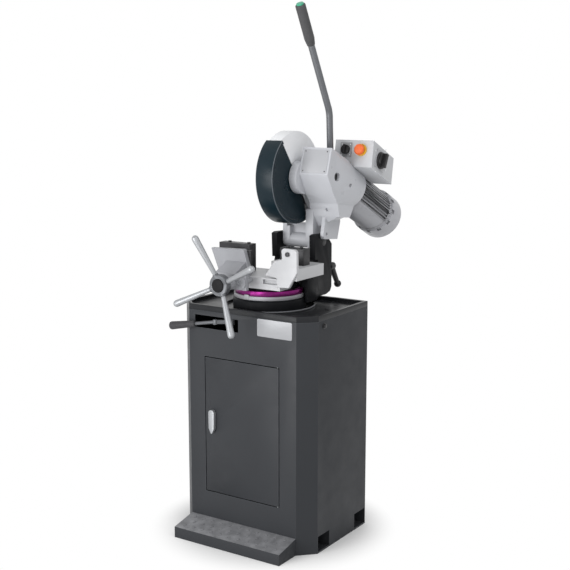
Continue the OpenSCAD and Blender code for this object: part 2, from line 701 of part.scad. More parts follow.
fin_t = 3.4;
fin_h = 7;
notch = [14, 16];
air_rings = [fan_r - 64, fan_r - 48, fan_r - 32];
fins_from = 150;
fins_to = 390;
module motor_housing() color("#8f9297") at_motor() {
  linear_extrude(motor_l) {
    circle(r = motor_r - fin_h);
    for (a = [fins_from : 360 / motor_fins : fins_to]) rotate(a)
      translate([motor_r - fin_h - 3, -fin_t / 2]) square([fin_h + 3, fin_t]);
  }
  intersection() {
    cylinder(r = motor_r - 1, h = motor_l);
    linear_extrude(motor_l) polygon([
      [0, 0], 2 * motor_r * [cos(fins_to), sin(fins_to)], [0, 2 * motor_r],
      2 * motor_r * [cos(fins_from), sin(fins_from)]
    ]);
  }
  for (z = [0, motor_l - 12]) translate([0, 0, z]) cylinder(r = motor_r, h = 12);
}
module fan_cover() color("#b4b6ba") at_motor() translate([0, 0, motor_l]) difference() {
  rotate_extrude() polygon([[0, 0], [fan_r, 0], [fan_r, fan_l - 22], [fan_r - 22, fan_l], [0, fan_l]]);
  for (r = air_rings) translate([0, 0, fan_l - 4]) ring(r, r + 6, 8);
  for (a = [0 : 30 : 330]) rotate(a) translate([motor_r + 1, -notch[1] / 2, -1])
    cube([fan_r, notch[1], notch[0] + 1]);
}
box_top_y1 = box_front[0] + box_depth * cos(motor_tilt);
box_top_z1 = box_front[1] - box_depth * sin(motor_tilt);
lean = [box_h * sin(box_lean), box_h * cos(box_lean)];
module control_box() color("#d4d5d8") difference() {
  along_x(box_x0, box_x0 + box_w) polygon([
    box_front, [box_top_y1, box_top_z1], [box_top_y1 - lean[0], box_top_z1 - lean[1]],
    box_front - lean
  ]);
  case_blend(slide_gap);
  at_motor() translate([0, 0, -1]) cylinder(r = motor_r + slide_gap, h = motor_l);
}
module on_box_front() translate([box_x0, box_front[0], box_front[1]]) rotate([-box_lean, 0, 0]) children();
switch_up = -36;
speed_x = 48;
stop_x = 112;
module switch_plate() color("#c3c5c8") on_box_front()
  translate([speed_x - 24, -3, switch_up - 26]) difference() {
    cube([48, 3, 52]);
    translate([24, 0, 26]) rod_y(6 + run, -1, 4);
  }
module speed_switch() color("#17181a") on_box_front() translate([speed_x, 0, switch_up]) {
  rod_y(17, -12, -3 - slide_gap);
  translate([-4, -20, -17]) cube([8, 8, 34]);
  rod_y(6, -3.5, -eps);
}
module emergency_collar() color("#e3c400") on_box_front() translate([stop_x, 0, switch_up]) difference() {
  rod_y(22, -7, 0);
  rod_y(12 + run, -8, 1);
}
module emergency_button() color("#e2501c") on_box_front() translate([stop_x, 0, switch_up]) {
  translate([0, -26, 0]) rotate([-90, 0, 0])
    rotate_extrude() polygon([[0, 0], [14, 0], [19, 4], [20, 9], [19, 13], [0, 13]]);
  rod_y(12, -14, -6);
}
main_y = 74;
main_z = -48;
module on_box_side() translate([box_x0 + box_w, box_front[0], box_front[1]])
  rotate([-motor_tilt, 0, 0]) children();
module main_switch_plate() color("#bfc1c4") on_box_side() difference() {
  translate([0, main_y - 36, main_z - 34]) cube([3, 72, 68]);
  translate([0, main_y, main_z]) rod_x(8 + run, -1, 4);
}
module main_switch() color("#111214") on_box_side() translate([0, main_y, main_z]) {
  rod_x(27, 3 + slide_gap, 16);
  translate([16, -7, -26]) cube([12, 14, 52]);
  rod_x(8, eps, 4);
}
lever_run = [lever_top - lever_bend, lever_bend - lever_base];
upper_len = norm(lever_run[0]);
upper_tilt = atan2(-lever_run[0][0], lever_run[0][1]);
lower_tilt = atan2(-lever_run[1][0], lever_run[1][1]);
module at_bend() translate([lever_x, lever_bend[0], lever_bend[1]]) children();
lever_turn = upper_tilt - lower_tilt;
bend_r = 90;
bend_swell = 0.2;
trigger_r = grip_r - 5;
bend_cut = bend_r * tan(lever_turn / 2);
module feed_lever() color("#9da0a4") {
  translate([lever_x, lever_base[0], lever_base[1]]) rotate([lower_tilt, 0, 0]) {
    cylinder(r = lever_r, h = norm(lever_run[1]) - bend_cut + 1);
    translate([0, -bend_r, norm(lever_run[1]) - bend_cut]) rotate([90, 0, 90])
      rotate_extrude(angle = lever_turn) translate([bend_r, 0]) circle(r = lever_r + bend_swell);
  }
  at_bend() rotate([upper_tilt, 0, 0]) translate([0, 0, bend_cut - 1])
    cylinder(r = lever_r, h = upper_len - grip_l - bend_cut + 1);
}
module lever_grip() color("#2a2c2e") at_bend() rotate([upper_tilt, 0, 0])
  translate([0, 0, upper_len - grip_l]) difference() {
    rotate_extrude() polygon([
      [0, 0], [lever_r + 2, 0], [grip_r, 24], [grip_r, grip_l - 3], [grip_r - 2, grip_l], [0, grip_l]
    ]);
    translate([0, 0, grip_l - 12]) cylinder(r = trigger_r + run, h = 20);
  }
module trigger_button() color("#2fae8a") at_bend() rotate([upper_tilt, 0, 0])
  translate([0, 0, upper_len - 7]) cylinder(r = trigger_r, h = 12);

cabinet();
tray();
foot_step();
rating_plate();
door_brackets();
door();
door_pins();
latch_handle();
latch_cam();
base_casting();
base_bolts();
bearing_ring();
scale_ring();
column();
pivot_bushes();
lock_handle();
lock_lever_post();
lock_lever();
lock_lever_grip();
vise_bed();
fixed_jaw_left();
fixed_jaw_right();
jaw_bolts();
end_plate();
end_plate_bolts();
vise_nut();
movable_jaw();
jaw_face();
guide_bar();
vise_screw();
handwheel_hub();
handwheel_cap();
handwheel_spokes();
head_casting();
pivot_pin();
front_plate();
case_plugs();
upper_guard();
lower_guard();
blade();
spindle();
blade_flange();
blade_bolt();
motor_housing();
fan_cover();
control_box();
switch_plate();
main_switch_plate();
emergency_collar();
emergency_button();
speed_switch();
main_switch();
feed_lever();
lever_grip();
trigger_button();
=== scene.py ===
"""Looks of a manual cold saw: finishes, rounded edges, small fittings and a pale studio."""

import json
import math

import bmesh
import bpy
from bpy.props import FloatProperty, FloatVectorProperty, IntProperty, PointerProperty
from mathutils import Matrix, Vector


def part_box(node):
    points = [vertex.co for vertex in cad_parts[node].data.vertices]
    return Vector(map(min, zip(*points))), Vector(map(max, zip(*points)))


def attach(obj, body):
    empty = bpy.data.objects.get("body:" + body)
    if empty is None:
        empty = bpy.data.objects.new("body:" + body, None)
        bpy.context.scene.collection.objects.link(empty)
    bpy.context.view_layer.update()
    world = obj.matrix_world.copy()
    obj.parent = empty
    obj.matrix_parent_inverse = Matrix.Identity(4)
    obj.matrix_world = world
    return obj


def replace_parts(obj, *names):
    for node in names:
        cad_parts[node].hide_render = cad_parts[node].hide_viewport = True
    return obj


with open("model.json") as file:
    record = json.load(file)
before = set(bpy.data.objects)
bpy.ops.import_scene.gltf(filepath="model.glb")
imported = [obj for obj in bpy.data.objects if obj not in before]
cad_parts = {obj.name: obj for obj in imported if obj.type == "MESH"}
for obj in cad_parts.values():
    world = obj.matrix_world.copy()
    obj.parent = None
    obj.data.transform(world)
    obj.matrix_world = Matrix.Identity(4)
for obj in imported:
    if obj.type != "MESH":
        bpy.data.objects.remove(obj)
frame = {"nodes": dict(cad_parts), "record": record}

bl_info = {
    "name": "Cold saw dressing",
    "version": (1, 0, 0),
    "blender": (4, 5, 0),
    "location": "View3D > Sidebar > Cold saw",
    "description": "Finishes and small fittings for a manual cold saw on a cabinet",
    "category": "Object",
}

RECORD = frame["record"]
NODES = frame["nodes"]
SLOT_OF = {part["node"]: part["material_slot"] for part in RECORD["subparts"]}
MM = 0.001

# All materials by name, filled when the first one is asked for.
FINISHES = {}
# Nodes that look unlike the other pieces of their slot, with the finish that they take.
OWN_FINISHES = {
    # The foot step's finish paints light on its faces that look up.
    "foot_step": "step_painted_light", "tray": "tray_paint", "latch_handle": "satin_steel",
    "bearing_ring": "ring_steel", "lock_lever": "hub_steel", "lock_lever_post": "dark_steel",
    "vise_bed": "vise_paint", "end_plate": "vise_paint",
    "movable_jaw": "jaw_paint", "jaw_bolts": "dark_steel",
    "handwheel_hub": "hub_steel", "handwheel_spokes": "satin_steel", "handwheel_cap": "cap_plastic",
    "pivot_pin": "dark_steel", "pivot_bushes": "dark_steel", "switch_plate": "switch_grey",
    "feed_lever": "hub_steel", "lever_grip": "sleeve_grey",
}

# Joining and flattening of a node's triangles, and the angles from which edges are rounded or stay sharp.
WELD_REACH = 0.002 * MM
FLAT_ANGLE = math.radians(0.4)
ROUND_ABOVE = math.radians(32.0)
CAST_ROUND_ABOVE = math.radians(14.0)
SMOOTH_BELOW = math.radians(35.0)
# Points this close are one point, and faces this close and this parallel are one face.
SAME_POINT = 0.01 * MM
SAME_LEVEL = 0.1 * MM
SAME_NORMAL = 0.9999

# The range within which most of a noise lies.
NOISE_MIDDLE = (0.3, 0.7)
# Painted shade in grooves: the share of the paint's colour that it darkens to.
GROOVE_PAINTED_SHADE = 0.3
# Painted highlight on edges: how far it reaches, and the cosines to the rounded normal where it starts and
# is full.
EDGE_HIGHLIGHT_REACH = 4.0 * MM
EDGE_HIGHLIGHT_COSINES = (0.99, 0.86)
# Upward share of a face's normal where the painted light on faces that look up starts and is full.
LIT_TOP_SLOPES = (0.55, 0.95)

# Foot step: heights of its tread at the back and front edges, and margins in rows and columns of studs.
STEP_BACK = 63 * MM
STEP_FRONT = 41 * MM
ROW_MARGIN = 0.75
COLUMN_MARGIN = 0.8
# Stud: sides, and its top radius and rounding as shares of its foot and height.
STUD_SIDES = 20
STUD_TOP = 0.7
STUD_ROUNDING = 0.4
# Rivet or screw head: height as a share of its radius.
HEAD_HEIGHT = 0.55
# The ways in which the plates with rivets or screws look: forward and a little up, and to the right.
FORWARD_UP = (0, -1, 0.3)
RIGHT = (1, 0, 0)
# Hexagon bolt: sides, and sizes as shares of the head's radius.
WASHER_SIDES = 28
WASHER_RADIUS = 1.35
WASHER_HEIGHT = 0.25
HEX_SIDES = 6
HEX_HEIGHT = 0.7
BOLT_EDGE = 0.08
# Bolt on the cabinet's right side: its Y and Z.
SIDE_BOLT = (-0.107, 0.816)
# Thin plates: their broken front edge, and steps of their corners and edges.
PLATE_EDGE = 0.4 * MM
CORNER_STEPS = 6
EDGE_STEPS = 2
# Beads: sides of their round section, and steps along the drip lip and along the guard.
BEAD_SIDES = 12
DRIP_STEPS = 120
GUARD_STEPS = 84
# Drip lip: height and radius of its bead.
DRIP_TOP = 849 * MM
DRIP_RADIUS = 163.5 * MM
# Lower guard: angles from +Y between which its rim has beads.
GUARD_ARC = (math.radians(127.2), math.radians(294.8))
# Toe cut-outs: distance of a pocket from the cabinet's faces, its half width, its top and its sheet.
TOE_WALL = 3.2 * MM
TOE_HALF = 42 * MM
TOE_TOP = 66 * MM
TOE_SHEET = 1.5 * MM
# Marks on the scale ring: how many on each side of zero, and their sizes.
SCALE_MARKS = 15
MARK_LONG = 11 * MM
MARK_SHORT = 7 * MM
MARK_FOOT = 0.8 * MM
MARK_HALF = 0.5 * MM
MARK_PROUD = 0.25 * MM
MARK_SUNK = 1 * MM
# Small plate across the two rings: its turn from the front, and its sizes.
POINTER_TURN = math.radians(-5)
POINTER_HALF = 10 * MM
POINTER_FOOT = 2 * MM
POINTER_LAP = 5 * MM
POINTER_PROUD = 0.8 * MM
POINTER_SUNK = 0.4 * MM
POINTER_CORNER = 2.5 * MM
# Vise screw: steps in a turn, and the shares of the lead at which its thread's rise, crest and fall end.
THREAD_STEPS = 24
THREAD_RISE = 0.32
THREAD_CREST = 0.5
THREAD_FALL = 0.82
# Main switch's round foot: gap to its plate, top as a share of its radius, rounded edge, sides and steps.
DIAL_GAP = 0.1 * MM
DIAL_TOP = 0.94
DIAL_EDGE = 1.6 * MM
DIAL_SIDES = 64
DIAL_EDGE_STEPS = 3

# Stage: width of the camera's sensor, plain light of the world, and the floor's sides and fade to white.
SENSOR = 36.0
AMBIENT = 0.55
FLOOR_SIDES = 96
FLOOR_FADE = (0.3, 0.47)


def colour_setting(label, colour):
    """A colour that a user can change."""
    return FloatVectorProperty(
        name=label, description=f"Base colour: {label.lower()}", subtype="COLOR",
        size=3, min=0.0, max=1.0, default=colour,
    )


def length_setting(label, description, metres):
    """A length that a user can change."""
    return FloatProperty(
        name=label, description=description, subtype="DISTANCE", unit="LENGTH", default=metres,
    )


class ColdSawColours(bpy.types.PropertyGroup):
    """Colours of the finishes, of the record's slots and of pieces that look unlike their slot."""

    cabinet_paint: colour_setting("Cabinet", (0.032, 0.034, 0.038))
    # Paler colour for the foot step's faces that look up: painted light.
    step_painted_light: colour_setting("Worn tread", (0.235, 0.238, 0.25))
    black_paint: colour_setting("Base and column", (0.010, 0.0105, 0.012))
    grey_casting: colour_setting("Grey castings", (0.50, 0.51, 0.54))
    vise_paint: colour_setting("Vise castings", (0.51, 0.515, 0.53))
    jaw_paint: colour_setting("Movable jaw", (0.285, 0.29, 0.31))
    grey_sheet: colour_setting("Upper guard", (0.84, 0.85, 0.87))
    guard_paint: colour_setting("Lower guard", (0.0055, 0.0150, 0.0215))
    # Paler paint on the beads in the lower guard's rim: a painted highlight.
    guard_rim_highlight: colour_setting("Lower guard's rim", (0.095, 0.108, 0.122))
    motor_grey: colour_setting("Motor", (0.43, 0.435, 0.46))
    bright_steel: colour_setting("Turned steel", (0.60, 0.61, 0.63))
    satin_steel: colour_setting("Spokes and latch handle", (0.34, 0.35, 0.365))
    hub_steel: colour_setting("Levers and handwheel hub", (0.13, 0.135, 0.145))
    ring_steel: colour_setting("Bearing ring", (0.34, 0.34, 0.36))
    dark_steel: colour_setting("Blackened steel", (0.030, 0.030, 0.032))
    blade_steel: colour_setting("Saw blade", (0.62, 0.63, 0.64))
    bronze: colour_setting("Bronze", (0.42, 0.28, 0.12))
    scale_anodised: colour_setting("Scale ring", (0.185, 0.008, 0.130))
    black_plastic: colour_setting("Black plastic", (0.012, 0.012, 0.013))
    tray_paint: colour_setting("Tray", (0.014, 0.015, 0.017))
    grip_rubber: colour_setting("Grips", (0.040, 0.040, 0.043))
    sleeve_grey: colour_setting("Feed lever's grip", (0.068, 0.068, 0.071))
    box_plastic: colour_setting("Control box", (0.52, 0.53, 0.55))
    stop_red: colour_setting("Emergency button", (0.80, 0.15, 0.035))
    stop_yellow: colour_setting("Emergency collar", (0.80, 0.45, 0.03))
    button_green: colour_setting("Trigger button", (0.07, 0.40, 0.25))
    plate_silver: colour_setting("Bare plates", (0.40, 0.405, 0.425))
    front_label: colour_setting("Plate on the cabinet", (0.32, 0.325, 0.34))
    switch_grey: colour_setting("Switch plate", (0.26, 0.265, 0.275))


class ColdSawSizes(bpy.types.PropertyGroup):
    """Sizes of rounded edges and small fittings."""

    sheet_edge: length_setting("Sheet edge", "Rounding of folded sheet edges", 2.0 * MM)
    cast_edge: length_setting("Cast edge", "Rounding of edges on castings", 3.0 * MM)
    machined_edge: length_setting("Machined edge", "Chamfer-like rounding of machined edges", 0.8 * MM)
    moulded_edge: length_setting("Moulded edge", "Rounding of moulded plastic edges", 2.5 * MM)
    stud_radius: length_setting("Stud radius", "Radius of a raised stud on the foot step", 7.0 * MM)
    stud_height: length_setting("Stud height", "Height of a raised stud on the foot step", 1.3 * MM)
    stud_rows: IntProperty(
        name="Stud rows", description="Rows of studs from back to front", default=3, min=1,
    )
    stud_columns: IntProperty(
        name="Stud columns", description="Studs in the longest row", default=11, min=2,
    )
    rivet_radius: length_setting("Rivet radius", "Radius of a plate rivet", 2.4 * MM)
    rivet_inset: length_setting("Rivet inset", "Distance of a rivet from its plate's edges", 7.0 * MM)
    screw_radius: length_setting("Screw radius", "Radius of a cover screw's head", 3.0 * MM)
    screw_inset: length_setting("Screw inset", "Distance of a cover screw from the edges", 9.0 * MM)
    side_bolt_radius: length_setting("Side bolt", "Radius of the bolt on the cabinet's side", 8.0 * MM)
    side_bolt_at: FloatVectorProperty(
        name="Side bolt place", description="Place of the bolt on the cabinet's right side", size=2,
        subtype="COORDINATES", unit="LENGTH", default=SIDE_BOLT,
    )
    drip_highlight_bead: length_setting("Drip bead", "Radius of the bead on the tray's drip lip", 3.0 * MM)
    guard_bead: length_setting(
        "Guard bead", "Radius of the beads in the lower guard's outer corners", 2.0 * MM,
    )
    plate_corner: length_setting("Plate corner", "Radius of the front plate's corners", 5.0 * MM)
    toe_depth: length_setting("Toe pocket", "Depth of the sheet pockets behind the toe cut-outs", 74.0 * MM)
    dial_radius: length_setting("Switch dial", "Radius of the main switch's round foot", 32.0 * MM)
    dial_height: length_setting("Dial height", "Height of the main switch's round foot", 7.0 * MM)
    tick_step: FloatProperty(
        name="Scale step", description="Angle between the scale ring's marks", subtype="ANGLE",
        default=math.radians(5.0),
    )
    thread_lead: length_setting("Thread lead", "Travel of the vise screw in a turn", 6.0 * MM)
    thread_depth: length_setting("Thread depth", "Depth of the vise screw's thread", 2.0 * MM)


class ColdSawStage(bpy.types.PropertyGroup):
    """Camera and floor."""

    lens: FloatProperty(
        name="Lens", description="Focal length for a 36 mm sensor", default=69.52, unit="CAMERA",
    )
    camera_at: FloatVectorProperty(
        name="Camera", description="Place of the camera", subtype="TRANSLATION", unit="LENGTH",
        default=(2.20939, -3.25766, 1.60650),
    )
    camera_turn: FloatVectorProperty(
        name="Camera turn", description="Rotation of the camera", subtype="EULER",
        default=(math.radians(80.0346), 0.0, math.radians(33.4923)),
    )
    floor_radius: length_setting("Floor radius", "Radius of the pale floor", 14.0)
    floor_colour: FloatVectorProperty(
        name="Floor colour", description="Colour of the floor", subtype="COLOR", default=(0.92, 0.92, 0.92),
    )


def colours():
    return bpy.context.scene.cold_saw_colours


def sizes():
    return bpy.context.scene.cold_saw_sizes


def shade(colour, factor):
    """A darker or lighter form of a colour, as a material socket takes it."""
    return (*[min(1.0, channel * factor) for channel in colour], 1.0)


class Finish:
    """One procedural material under construction on Object coordinates."""

    def __init__(self, name, metallic=0.0, specular=0.5):
        self.material = bpy.data.materials.new(name)
        self.material.use_nodes = True
        self.tree = self.material.node_tree
        self.tree.nodes.clear()
        self.shader = self.add("ShaderNodeBsdfPrincipled")
        self.put("Metallic", metallic)
        self.put("Specular IOR Level", specular)
        self.object = self.add("ShaderNodeTexCoord").outputs["Object"]
        self.surface = self.add("ShaderNodeOutputMaterial").inputs["Surface"]
        self.feed(self.surface, self.shader.outputs["BSDF"])

    def add(self, kind, **settings):
        node = self.tree.nodes.new(kind)
        for key, value in settings.items():
            setattr(node, key, value)
        return node

    def feed(self, socket, value):
        """Links a socket to another one, or sets it to a plain value."""
        if isinstance(value, bpy.types.NodeSocket):
            self.tree.links.new(value, socket)
        else:
            socket.default_value = value

    def put(self, name, value):
        """Feeds one of the shader's own sockets."""
        self.feed(self.shader.inputs[name], value)

    def noise(self, scale, detail=3.0, vector=None):
        node = self.add("ShaderNodeTexNoise")
        node.inputs["Scale"].default_value = scale
        node.inputs["Detail"].default_value = detail
        self.feed(node.inputs["Vector"], vector or self.object)
        return node.outputs["Fac"]

    def grain(self, stretch, detail):
        """Noise that is scaled by axis, for marks that run along a piece."""
        mapping = self.add("ShaderNodeMapping")
        mapping.inputs["Scale"].default_value = stretch
        self.feed(mapping.inputs["Vector"], self.object)
        return self.noise(1.0, detail, mapping.outputs["Vector"])

    def mapped(self, value, seen, given=(0.0, 1.0), **settings):
        """Maps the range seen of a value to the range given, and stays within it."""
        node = self.add("ShaderNodeMapRange", **settings)
        for name, amount in zip(("From Min", "From Max", "To Min", "To Max"), (*seen, *given)):
            node.inputs[name].default_value = amount
        self.feed(node.inputs["Value"], value)
        return node.outputs["Result"]

    def spread(self, noise, low, high):
        """Maps the middle of a noise to the range low to high."""
        return self.mapped(noise, NOISE_MIDDLE, (low, high))

    def calculated(self, operation, first, second):
        node = self.add("ShaderNodeMath", operation=operation)
        self.feed(node.inputs[0], first)
        self.feed(node.inputs[1], second)
        return node.outputs["Value"]

    def mixed(self, factor, first, second):
        """Mixes two colours, the second one where factor is 1."""
        node = self.add("ShaderNodeMix", data_type="RGBA")
        for socket, colour in zip((s for s in node.inputs if s.type == "RGBA"), (first, second)):
            self.feed(socket, colour)
        self.feed(node.inputs["Factor"], factor)
        return next(s for s in node.outputs if s.type == "RGBA")

    def colour(self, factor, base, darker, lighter):
        self.put("Base Color", self.mixed(factor, shade(base, darker), shade(base, lighter)))

    def over(self, amount, colour):
        """Lays another colour over the colour made so far, where amount is 1."""
        below = self.shader.inputs["Base Color"].links[0].from_socket
        self.put("Base Color", self.mixed(amount, below, colour))

    def painted_groove_shade(self, base, reach):
        """Paints shade into the colour where faces stand closer together than reach."""
        open_air = self.add("ShaderNodeAmbientOcclusion", samples=8, only_local=True)
        open_air.inputs["Distance"].default_value = reach
        painted_shade_amount = self.calculated("SUBTRACT", 1.0, open_air.outputs["AO"])
        self.over(painted_shade_amount, shade(base, GROOVE_PAINTED_SHADE))

    def painted_edge_highlight(self, base, paler):
        """Paints a highlight along sharp edges by making the colour paler there, more in some places than
        in others.
        """
        rounded = self.add("ShaderNodeBevel", samples=6)
        rounded.inputs["Radius"].default_value = EDGE_HIGHLIGHT_REACH
        cosine = self.add("ShaderNodeVectorMath", operation="DOT_PRODUCT")
        self.feed(cosine.inputs[0], rounded.outputs["Normal"])
        self.feed(cosine.inputs[1], self.add("ShaderNodeNewGeometry").outputs["Normal"])
        edge = self.mapped(cosine.outputs["Value"], EDGE_HIGHLIGHT_COSINES)
        patches = self.spread(self.noise(scale=26.0, detail=4.0), low=0.35, high=1.0)
        self.over(self.calculated("MULTIPLY", edge, patches), shade(base, paler))

    def roughness(self, noise, low, high):
        self.put("Roughness", self.spread(noise, low, high))

    def relief(self, height, depth, strength):
        """Adds a bump layer, with its depth in metres, over the layers made so far."""
        bump = self.add("ShaderNodeBump")
        bump.inputs["Strength"].default_value = strength
        bump.inputs["Distance"].default_value = depth
        self.feed(bump.inputs["Height"], height)
        below = self.shader.inputs["Normal"].links
        if below:
            self.feed(bump.inputs["Normal"], below[0].from_socket)
        self.put("Normal", bump.outputs["Normal"])


def powder_coat(name, base, rough, specular, edge_highlight=None, peel=0.25):
    """Powder coat on sheet: a fine peel, faint clouds and, by the factor given, a painted highlight that
    makes edges paler.
    """
    finish = Finish(name, specular=specular)
    finish.colour(finish.noise(scale=5.0, detail=2.0), base, darker=0.92, lighter=1.08)
    if edge_highlight:
        finish.painted_edge_highlight(base, paler=edge_highlight)
    finish.roughness(finish.noise(scale=18.0), low=rough - 0.05, high=rough + 0.07)
    finish.relief(finish.noise(scale=420.0, detail=2.0), depth=0.12 * MM, strength=peel)
    finish.relief(finish.noise(scale=1500.0, detail=1.0), depth=0.05 * MM, strength=peel * 0.8)
    return finish.material


def painted_light_tread(name, base, tread):
    """Powder coat with painted light: faces that look up are made paler, in scuff-like patches."""
    finish = Finish(name, specular=0.16)
    axes = finish.add("ShaderNodeSeparateXYZ")
    finish.feed(axes.inputs["Vector"], finish.add("ShaderNodeNewGeometry").outputs["True Normal"])
    upward = finish.mapped(axes.outputs["Z"], LIT_TOP_SLOPES, interpolation_type="SMOOTHSTEP")
    patchiness = finish.spread(finish.noise(scale=34.0, detail=5.0), low=0.55, high=1.0)
    lit_share = finish.calculated("MULTIPLY", upward, patchiness)
    finish.put("Base Color", finish.mixed(lit_share, shade(base, 1.0), shade(tread, 1.0)))
    finish.roughness(finish.noise(scale=60.0), low=0.44, high=0.60)
    finish.relief(finish.noise(scale=420.0, detail=2.0), depth=0.12 * MM, strength=0.25)
    return finish.material


def enamelled_casting(name, base, rough, lumps, specular=0.32, grooves=None):
    """Enamel on a casting: soft lumps, a fine peel and, within the distance grooves, painted shade in
    grooves.
    """
    finish = Finish(name, specular=specular)
    finish.colour(finish.noise(scale=9.0), base, darker=0.94, lighter=1.05)
    if grooves:
        finish.painted_groove_shade(base, reach=grooves)
    finish.roughness(finish.noise(scale=30.0), low=rough - 0.06, high=rough + 0.08)
    finish.relief(finish.noise(scale=95.0), depth=lumps, strength=0.35)
    finish.relief(finish.noise(scale=700.0, detail=2.0), depth=0.06 * MM, strength=0.25)
    return finish.material


def turned_metal(name, base, rough, metallic=1.0):
    """Turned or drawn metal with fine tool marks and a few duller patches."""
    finish = Finish(name, metallic=metallic)
    marks = finish.grain((260.0, 1900.0, 260.0), detail=4.0)
    finish.colour(finish.noise(scale=22.0), base, darker=0.93, lighter=1.05)
    finish.roughness(marks, low=rough - 0.05, high=rough + 0.07)
    finish.relief(marks, depth=0.015 * MM, strength=0.15)
    return finish.material


def satin_metal(name, base, rough, metallic):
    """Satin plated or polished bar: soft clouds in the sheen and a very fine grain."""
    finish = Finish(name, metallic=metallic)
    finish.colour(finish.noise(scale=14.0), base, darker=0.94, lighter=1.05)
    finish.roughness(finish.noise(scale=48.0), low=rough - 0.04, high=rough + 0.06)
    finish.relief(finish.noise(scale=900.0, detail=2.0), depth=0.02 * MM, strength=0.2)
    return finish.material


def blackened_steel(name, base):
    """Blackened machined steel with a thin oily sheen and paler specks."""
    finish = Finish(name, metallic=0.6)
    finish.colour(finish.noise(scale=60.0, detail=5.0), base, darker=0.75, lighter=1.45)
    finish.roughness(finish.noise(scale=40.0), low=0.34, high=0.52)
    finish.relief(finish.noise(scale=900.0, detail=2.0), depth=0.05 * MM, strength=0.25)
    return finish.material


def ground_blade(name, base):
    """Bright steel with fine, straight grinding lines."""
    finish = Finish(name, metallic=1.0)
    lines = finish.grain((300.0, 60.0, 1600.0), detail=4.0)
    finish.colour(lines, base, darker=0.85, lighter=1.1)
    finish.roughness(lines, low=0.22, high=0.38)
    finish.relief(lines, depth=0.02 * MM, strength=0.3)
    return finish.material


def moulded_plastic(name, base, rough, specular=0.28):
    """Moulded plastic with a fine spark-eroded texture."""
    finish = Finish(name, specular=specular)
    finish.colour(finish.noise(scale=30.0), base, darker=0.93, lighter=1.06)
    finish.roughness(finish.noise(scale=55.0), low=rough - 0.04, high=rough + 0.06)
    finish.relief(finish.noise(scale=1100.0, detail=2.0), depth=0.05 * MM, strength=0.3)
    return finish.material


def grip_rubber(name, base):
    """Matte rubber sleeve with a dusty bloom."""
    finish = Finish(name, specular=0.22)
    finish.colour(finish.noise(scale=40.0, detail=4.0), base, darker=0.85, lighter=1.25)
    finish.roughness(finish.noise(scale=70.0), low=0.48, high=0.66)
    finish.relief(finish.noise(scale=600.0), depth=0.08 * MM, strength=0.35)
    return finish.material


def anodised_ring(name, base):
    """Dyed anodised aluminium: satin, with turning lines round the ring."""
    finish = Finish(name, metallic=0.75)
    lines = finish.grain((40.0, 40.0, 2400.0), detail=3.0)
    finish.colour(finish.noise(scale=14.0), base, darker=0.85, lighter=1.2)
    finish.roughness(lines, low=0.24, high=0.36)
    finish.relief(lines, depth=0.02 * MM, strength=0.25)
    return finish.material


def satin_plate(name, base):
    """Bare satin plate, brushed along X."""
    finish = Finish(name, metallic=0.1)
    brushing = finish.grain((30.0, 900.0, 1500.0), detail=3.0)
    finish.colour(brushing, base, darker=0.95, lighter=1.03)
    finish.roughness(brushing, low=0.32, high=0.44)
    finish.relief(brushing, depth=0.01 * MM, strength=0.15)
    return finish.material


def sheet_coats(c):
    """Finishes of the cabinet's and the guards' sheet metal."""
    return {
        # The cabinet and the lower guard get a painted highlight along their edges.
        "cabinet_paint": powder_coat("cabinet_coat", c.cabinet_paint, rough=0.44, specular=0.16, edge_highlight=2.2),
        # The foot step's faces that look up get painted light.
        "step_painted_light": painted_light_tread("painted_light_step_coat", c.cabinet_paint, c.step_painted_light),
        "tray_paint": powder_coat("tray_coat", c.tray_paint, rough=0.32, specular=0.2),
        "grey_sheet": powder_coat("guard_grey_coat", c.grey_sheet, rough=0.44, specular=0.25),
        "guard_paint": powder_coat(
            "guard_dark_coat", c.guard_paint, rough=0.30, specular=0.2, edge_highlight=3.0, peel=0.10,
        ),
        # Painted highlight on the lower guard's rim beads.
        "guard_rim_highlight": powder_coat("guard_rim_highlight_coat", c.guard_rim_highlight, rough=0.30, specular=0.3),
        "plate_silver": satin_plate("bare_plate", c.plate_silver),
        "switch_grey": satin_plate("switch_panel", c.switch_grey),
        "front_label": satin_plate("front_label", c.front_label),
    }


def casting_enamels(c):
    """Finishes of the base, head, vise and motor castings."""
    return {
        "black_paint": enamelled_casting(
            "black_casting_enamel", c.black_paint, rough=0.44, lumps=0.25 * MM, specular=0.07,
        ),
        "grey_casting": enamelled_casting(
            "grey_casting_enamel", c.grey_casting, rough=0.33, lumps=0.22 * MM, specular=0.4,
        ),
        "vise_paint": enamelled_casting("vise_enamel", c.vise_paint, rough=0.40, lumps=0.22 * MM),
        "jaw_paint": enamelled_casting("jaw_enamel", c.jaw_paint, rough=0.42, lumps=0.15 * MM),
        # The motor's fins get painted shade in their grooves.
        "motor_grey": enamelled_casting(
            "motor_enamel", c.motor_grey, rough=0.32, lumps=0.12 * MM, specular=0.4, grooves=16.0 * MM,
        ),
    }


def bare_metals(c):
    """Finishes of turned, plated, blackened, ground and anodised metal."""
    return {
        "bright_steel": turned_metal("turned_steel", c.bright_steel, rough=0.30),
        "satin_steel": satin_metal("satin_steel", c.satin_steel, rough=0.44, metallic=0.55),
        "hub_steel": satin_metal("hub_steel", c.hub_steel, rough=0.46, metallic=0.55),
        "ring_steel": turned_metal("ring_steel", c.ring_steel, rough=0.52, metallic=0.6),
        "dark_steel": blackened_steel("blackened_steel", c.dark_steel),
        "blade_steel": ground_blade("ground_blade_steel", c.blade_steel),
        "bronze": turned_metal("turned_bronze", c.bronze, rough=0.32),
        "scale_anodised": anodised_ring("anodised_scale", c.scale_anodised),
    }


